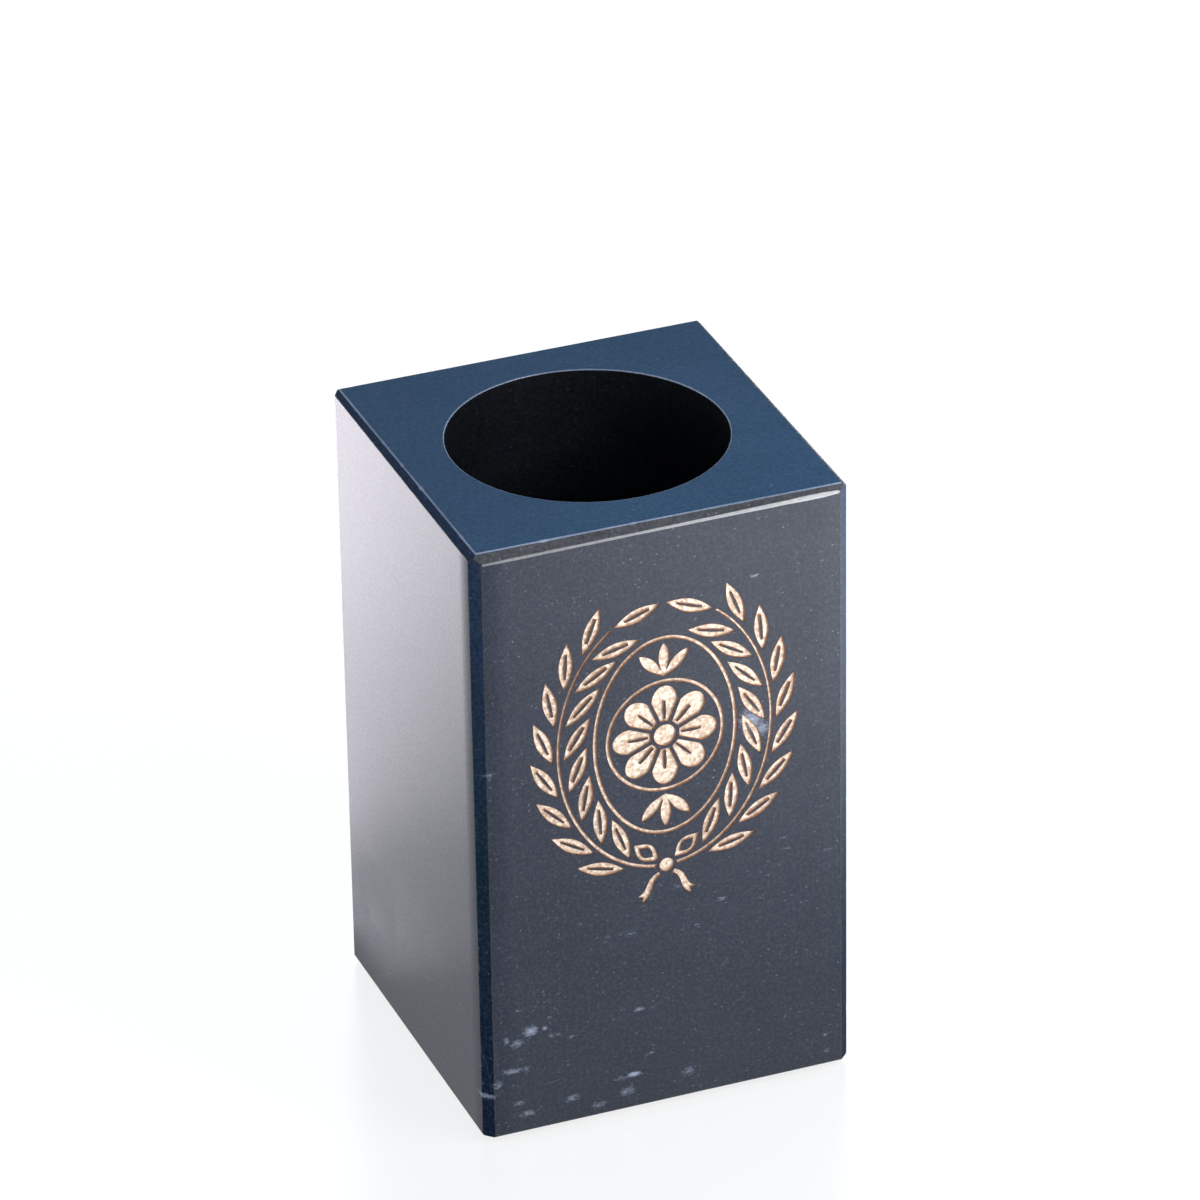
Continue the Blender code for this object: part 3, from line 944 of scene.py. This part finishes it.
def hairlines(tree, place, turn, scale):
    """Thin long scratches: the narrow band where stretched noise crosses its middle value steeply."""
    drawn_out = stretched(tree, place, (scale, scale * HAIRLINE_STRETCH, scale * HAIRLINE_STRETCH), turn)
    texture = cloud(tree, drawn_out, 1, 0)
    beside = cloud(tree, vector_maths(tree, "ADD", drawn_out, HAIRLINE_STEP), 1, 0)
    steep = ramp(tree, unsigned(tree, minus(tree, beside, texture)), 0.03, 0.08)
    near = unsigned(tree, minus(tree, texture, 0.5))
    line = times(tree, ramp(tree, near, HAIRLINE_WIDTH, 0.0), steep)
    few = ramp(tree, cloud(tree, place, 45, 1), 0.58, 0.7)
    return times(tree, line, few)


def all_scratches(tree, place):
    """The front's scratches, and two sets of fainter hairlines."""
    one_way = hairlines(tree, place, (0.3, 0.9, 0.4), 420)
    other_way = hairlines(tree, place, (1.1, -0.5, 1.9), 330)
    return plus(tree, times(tree, plus(tree, one_way, other_way), 0.5), front_scratches(tree, place))


def rolled_off(tree, place):
    """How far a honed face falls away towards the front's upright edges, in metres."""
    from_middle = unsigned(tree, along_axis(tree, place, "X"))
    forwards = times(tree, along_axis(tree, place, "Y"), -1)
    across = maths(tree, "MINIMUM", from_middle, forwards)
    past = maths(tree, "MAXIMUM", minus(tree, across, ROLL_START), 0.0)
    return times(tree, times(tree, past, past), ROLL_BEND)


def painted_border_highlight(tree, place, colour):
    """The colour of the border under the front's upper flat, with a painted highlight: near white at its foot
    and to its right.
    """
    share = ramp(tree, along_axis(tree, place, "X"), -border_half, border_half)
    line = ramp(tree, share, 0, 1, block_high.z - TOP_LEFT_FLAT, block_high.z - TOP_RIGHT_FLAT)
    above = minus(tree, along_axis(tree, place, "Z"), line)
    patchy = ramp(tree, cloud(tree, place, BORDER_HIGHLIGHT_SCALE, 3, 0.6), 0.35, 0.65, -BORDER_HIGHLIGHT_PATCH, BORDER_HIGHLIGHT_PATCH)
    highlight_at_foot = ramp(tree, plus(tree, above, patchy), *BORDER_HIGHLIGHT_EDGE, 0.3, 1.0)
    return blend(tree, times(tree, share, highlight_at_foot), colour, BORDER_HIGHLIGHT_COLOUR)


def painted_sheen_and_shade(tree, place, colour):
    """The colour of the ground flats with painted light: a paler, bluer painted sheen towards the block's
    top, and painted shade towards its foot.
    """
    height = along_axis(tree, place, "Z")
    colour = blend(tree, ramp(tree, height, *FLAT_TOP_SHEEN_HEIGHTS, 0, 0.8), colour, FLAT_TOP_PAINTED_SHEEN)
    return blend(tree, ramp(tree, height, *FLAT_FOOT_SHADE_HEIGHTS, 0, 0.7), colour, FLAT_FOOT_PAINTED_SHADE)


def mottled(tree, place, colour, dark, light, marks):
    """The colour with fine mottling, paler by as much as the stone is marked."""
    mottle = cloud(tree, place, MOTTLE_SCALE, 2, 0.6)
    pale = [0.6 * part + 0.1 for part in light]
    deep = [0.5 * part for part in dark]
    colour = blend(tree, ramp(tree, mottle, 0.45, 0.8, 0, 0.27 * marks), colour, pale)
    return blend(tree, ramp(tree, mottle, 0.5, 0.25, 0, 0.5), colour, deep)


def stone_material(
    name, dark, light, roughness, grain, specular, marks, rolls=False, paints_border_highlight=False, paints_sheen_and_shade=False
):
    """Dark stone: mottled, with pale specks, and as much grain, gloss and marking as its finish leaves; where
    asked, with a painted highlight, or with painted sheen and painted shade.
    """
    material, tree, shader = new_material(name)
    place = object_place(tree)
    bedding = cloud(tree, stretched(tree, place, (1, 1, 2.2)), BEDDING_SCALE, 4, 0.6)
    colour = blend(tree, ramp(tree, bedding, 0.36, 0.66), dark, light)
    # Painted sheen towards the top and painted shade towards the foot
    if paints_sheen_and_shade:
        colour = painted_sheen_and_shade(tree, place, colour)
    colour = mottled(tree, place, colour, dark, light, marks)
    colour = blend(tree, times(tree, pale_specks(tree, place), 0.4 * marks), colour, SPECK_COLOUR)
    colour = blend(tree, times(tree, calcite_streaks(tree, place), 0.8 * marks), colour, CALCITE_COLOUR)
    scratches = all_scratches(tree, place)
    colour = blend(tree, times(tree, scratches, 0.3 * marks), colour, SCRATCH_COLOUR)
    # Painted highlight along the border under the front's upper flat
    if paints_border_highlight:
        colour = painted_border_highlight(tree, place, colour)
    tree.links.new(colour, shader.inputs["Base Color"])
    fine = cloud(tree, place, GRAIN_SCALE, 2, 0.6)
    tree.links.new(ramp(tree, fine, 0.3, 0.7, roughness * 0.9, roughness * 1.12), shader.inputs["Roughness"])
    shader.inputs["Specular IOR Level"].default_value = specular
    height = times(tree, minus(tree, fine, times(tree, scratches, 0.3)), grain)
    if rolls:
        height = minus(tree, height, rolled_off(tree, place))
    tree.links.new(bumped(tree, height), shader.inputs["Normal"])
    return material


def gilt_material():
    """Gold paint dried over a blasted floor, with a brown painted shade up the walls."""
    material, tree, shader = new_material("gold_paint")
    place = object_place(tree)
    depth = minus(tree, along_axis(tree, place, "Y"), face_y)
    # Painted shade: brown up the walls, gold on the floor
    floor = ramp(tree, depth, *GOLD_SHADE_DEPTHS)
    blotch = cloud(tree, place, 1500, 3, 0.65)
    gold = blend(tree, ramp(tree, blotch, 0.40, 0.62), GOLD_DARK, GOLD_LIGHT)
    tree.links.new(blend(tree, floor, GOLD_WALL_PAINTED_SHADE, gold), shader.inputs["Base Color"])
    shader.inputs["Metallic"].default_value = 0.8
    tree.links.new(ramp(tree, blotch, 0.35, 0.7, 0.6, 0.42), shader.inputs["Roughness"])
    grit = plus(tree, blotch, times(tree, cloud(tree, place, 3200, 2), 0.6))
    tree.links.new(bumped(tree, grit, 0.8, 0.00018), shader.inputs["Normal"])
    return material


def felt_material():
    """Dark felt with matted fibres."""
    material, tree, shader = new_material("dark_felt")
    place = object_place(tree)
    fibres = cloud(tree, stretched(tree, place, (1, 0.25, 1), (0.2, 0.1, 0.7)), 5200, 3, 0.7)
    crossing = cloud(tree, stretched(tree, place, (0.25, 1, 1), (0.1, 0.2, 0.5)), 4600, 3, 0.7)
    matted = maths(tree, "MAXIMUM", fibres, crossing)
    colour = blend(tree, ramp(tree, matted, 0.45, 0.75), FELT_DARK, FELT_LIGHT)
    tree.links.new(colour, shader.inputs["Base Color"])
    shader.inputs["Roughness"].default_value = 0.95
    shader.inputs["Sheen Weight"].default_value = 0.3
    shader.inputs["Specular IOR Level"].default_value = 0.2
    tree.links.new(bumped(tree, matted, 0.7, 0.0002), shader.inputs["Normal"])
    return material


# Stage
def floor_material():
    """A glossy floor that shows white to the camera and to what mirrors it, with the block's soft shadow."""
    material, tree, shader = new_material("white_floor")
    tree.nodes.remove(shader)
    path = tree.nodes.new("ShaderNodeLightPath")
    seen = maths(tree, "MAXIMUM", path.outputs["Is Camera Ray"], path.outputs["Is Glossy Ray"])
    seen = maths(tree, "MAXIMUM", seen, path.outputs["Is Transmission Ray"])
    plain = node(tree, "ShaderNodeBsdfDiffuse", {"Color": FLOOR_WHITE})
    glow = node(tree, "ShaderNodeEmission", {"Color": (1, 1, 1, 1), "Strength": FLOOR_GLOW})
    gloss = node(tree, "ShaderNodeBsdfGlossy", {"Color": (1, 1, 1, 1), "Roughness": FLOOR_ROUGHNESS})
    white = node(tree, "ShaderNodeMixShader", {0: 1 - FLOOR_SHADOW, 1: plain, 2: glow})
    shown = node(tree, "ShaderNodeMixShader", {0: FLOOR_GLOSS, 1: white, 2: gloss})
    surface = node(tree, "ShaderNodeMixShader", {0: seen, 1: plain, 2: shown})
    tree.links.new(surface, tree.nodes["Material Output"].inputs["Surface"])
    return material


def add_floor():
    shape = bmesh.new()
    corners = [(-1, -1), (1, -1), (1, 1), (-1, 1)]
    shape.faces.new([shape.verts.new((FLOOR_REACH * x, FLOOR_REACH * y, 0)) for x, y in corners])
    mesh = bpy.data.meshes.new("floor")
    shape.to_mesh(mesh)
    shape.free()
    floor = linked("floor", mesh, floor_material())
    floor.location.z = cad_low.z - FLOOR_GAP


def add_lamp(name, width, height, power, colour, place, turn):
    """A rectangular lamp that doesn't show itself."""
    lamp = bpy.data.lights.new(name, "AREA")
    lamp.shape = "RECTANGLE"
    lamp.size = width
    lamp.size_y = height
    lamp.energy = power
    lamp.color = colour
    item = linked(name, lamp)
    item.location = place
    item.rotation_euler = turn
    item.visible_camera = False


def add_softbox(name, place, target, width, height, power):
    """A white lamp that faces its target."""
    turn = (Vector(target) - Vector(place)).to_track_quat("-Z", "Y").to_euler()
    add_lamp(name, width, height, power, (1, 1, 1), place, turn)


def add_card(name, place, width, depth, brightness, spin=0):
    """A glowing card flat on the floor, as bright as this many times white."""
    power = brightness * pi * width * depth
    add_lamp(name, width, depth, power, CARD_COLOUR, (*place, CARD_HEIGHT), (pi, 0, spin))


def add_low_card(name, near, far, left, right, brightness):
    """A card behind the block's left side, between two distances along CARD_WAY and two across it."""
    across = Vector((-CARD_WAY.y, CARD_WAY.x))
    place = Vector((block_low.x, 0)) + CARD_WAY * (near + far) / 2 + across * (left + right) / 2
    add_card(name, place, right - left, far - near, brightness, atan2(across.y, across.x))


def add_world():
    """A plain dome, white at the horizon and dimmer and cooler above."""
    world = bpy.data.worlds.new("studio")
    bpy.context.scene.world = world
    world.use_nodes = True
    tree = world.node_tree
    height = along_axis(tree, node(tree, "ShaderNodeTexCoord", output="Generated"), "Z")
    colour = blend(tree, ramp(tree, height, 0.05, 0.4), WORLD_HORIZON, WORLD_TOP)
    background = tree.nodes["Background"]
    tree.links.new(colour, background.inputs["Color"])
    background.inputs["Strength"].default_value = 1.0


def add_camera():
    """The camera at the photograph's viewing angle."""
    ahead = Vector((
        sin(CAMERA_YAW) * cos(CAMERA_PITCH),
        cos(CAMERA_YAW) * cos(CAMERA_PITCH),
        -sin(CAMERA_PITCH),
    ))
    level = Vector((cos(CAMERA_YAW), -sin(CAMERA_YAW), 0))
    upright = level.cross(ahead)
    right = level * cos(CAMERA_ROLL) + upright * sin(CAMERA_ROLL)
    up = upright * cos(CAMERA_ROLL) - level * sin(CAMERA_ROLL)
    middle = (block_low + block_high) / 2
    place = middle - ahead * CAMERA_DISTANCE + right * CAMERA_RIGHT + up * CAMERA_UP
    turn = Matrix((right, up, -ahead)).transposed()
    data = bpy.data.cameras.new("camera")
    data.lens = CAMERA_LENS
    data.sensor_width = CAMERA_SENSOR
    data.clip_end = CAMERA_REACH
    item = linked("camera", data)
    item.matrix_world = Matrix.Translation(place) @ turn.to_4x4()
    bpy.context.scene.camera = item


def block_materials():
    """One finish for each slot, in the slots' order."""
    return [
        stone_material(
            "honed_stone",
            dark=(0.0045, 0.0115, 0.03),
            light=(0.0105, 0.018, 0.0385),
            roughness=0.44,
            grain=0.00002,
            specular=0.36,
            marks=1.2,
            rolls=True,
        ),
        # Its saturated blue is partly the stone's own dark colour and partly a painted reflection of bluish
        # surroundings
        stone_material(
            "polished_stone_painted_reflection",
            dark=(0.016, 0.063, 0.14),
            light=(0.022, 0.074, 0.16),
            roughness=0.14,
            grain=0.000002,
            specular=0.3,
            marks=0.8,
        ),
        # The darker copy of the ground finish, beside its paler lit copy on the rims; the dark navy is partly
        # painted shade
        stone_material(
            "ground_stone",
            dark=(0.003, 0.02, 0.037),
            light=(0.008, 0.028, 0.049),
            roughness=0.55,
            grain=0.00005,
            specular=0.05,
            marks=1.0,
            # painted sheen towards the top, painted shade towards the foot
            paints_sheen_and_shade=True,
        ),
        stone_material(
            "worn_stone",
            dark=(0.012, 0.018, 0.028),
            light=(0.03, 0.038, 0.05),
            roughness=0.4,
            grain=0.00004,
            specular=0.3,
            marks=1.6,
        ),
        # Near black, darker than the block's other stone: painted shade inside the well
        stone_material(
            "drilled_stone_painted_shade",
            dark=(0.002, 0.003, 0.005),
            light=(0.004, 0.006, 0.009),
            roughness=0.5,
            grain=0.00006,
            specular=0.2,
            marks=0.3,
        ),
        # Brown: painted shade on the recesses' walls, between the face and the paint
        stone_material(
            "blasted_stone_painted_shade",
            dark=(0.05, 0.03, 0.024),
            light=(0.08, 0.05, 0.035),
            roughness=0.7,
            grain=0.0001,
            specular=0.3,
            marks=0.3,
        ),
        # The lit copy of the ground finish: paler grey painted light on the flats that lean up to the front
        # and back
        stone_material(
            "painted_light_rim_stone",
            dark=(0.034, 0.037, 0.046),
            light=(0.07, 0.073, 0.084),
            roughness=0.5,
            grain=0.00006,
            specular=0.15,
            marks=1.4,
        ),
        # Pale stone with a painted highlight, for the border under the front's upper flat
        stone_material(
            "painted_highlight_border_stone",
            dark=(0.12, 0.125, 0.13),
            light=(0.24, 0.24, 0.245),
            roughness=0.35,
            grain=0.00005,
            specular=0.5,
            marks=1.2,
            paints_border_highlight=True,
        ),
        # Pale bluish stone with a painted highlight, for the top's front and left edges and the well's mouth
        stone_material(
            "painted_highlight_lip_stone",
            dark=(0.17, 0.21, 0.31),
            light=(0.35, 0.4, 0.54),
            roughness=0.3,
            grain=0.00002,
            specular=0.5,
            marks=1.0,
        ),
    ]


def dress(piece, cad_node):
    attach(piece, "root")
    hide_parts(cad_node)


fills = ornament()
dress(ground_block(fills, block_materials()), "stone_block")
gold = gilt_material()
for cad_node, loops in fills.items():
    dress(paint_fill(cad_node, loops, gold), cad_node)
pad = felt_pad(felt_material())
dress(pad, "felt_base_pad")

add_floor()
add_world()
add_softbox("overhead", (0.13, -0.17, 0.27), (0, -0.01, 0.1), width=0.14, height=0.14, power=0.42)
add_softbox("key", (0.3, -0.62, 0.42), (0, 0, 0.07), width=0.2, height=0.2, power=0.6)
add_low_card("behind_near", near=0.006, far=0.042, left=0.035, right=0.285, brightness=1.0)
add_low_card("behind_middle", near=0.045, far=0.098, left=0.035, right=0.285, brightness=5.2)
add_low_card("behind_far", near=0.098, far=0.4, left=-0.05, right=0.45, brightness=9.8)
add_softbox("front_low", (0.235, -0.3, 0.002), (0.235, -0.3, 1), width=0.33, height=0.3, power=1.6)
add_card("left_foot", (-0.054, 0.05), width=0.022, depth=0.05, brightness=1.0)
add_card("right_low", (0.2, 0.02), width=0.14, depth=0.16, brightness=5)
add_camera()
bpy.context.scene.view_settings.view_transform = "Standard"
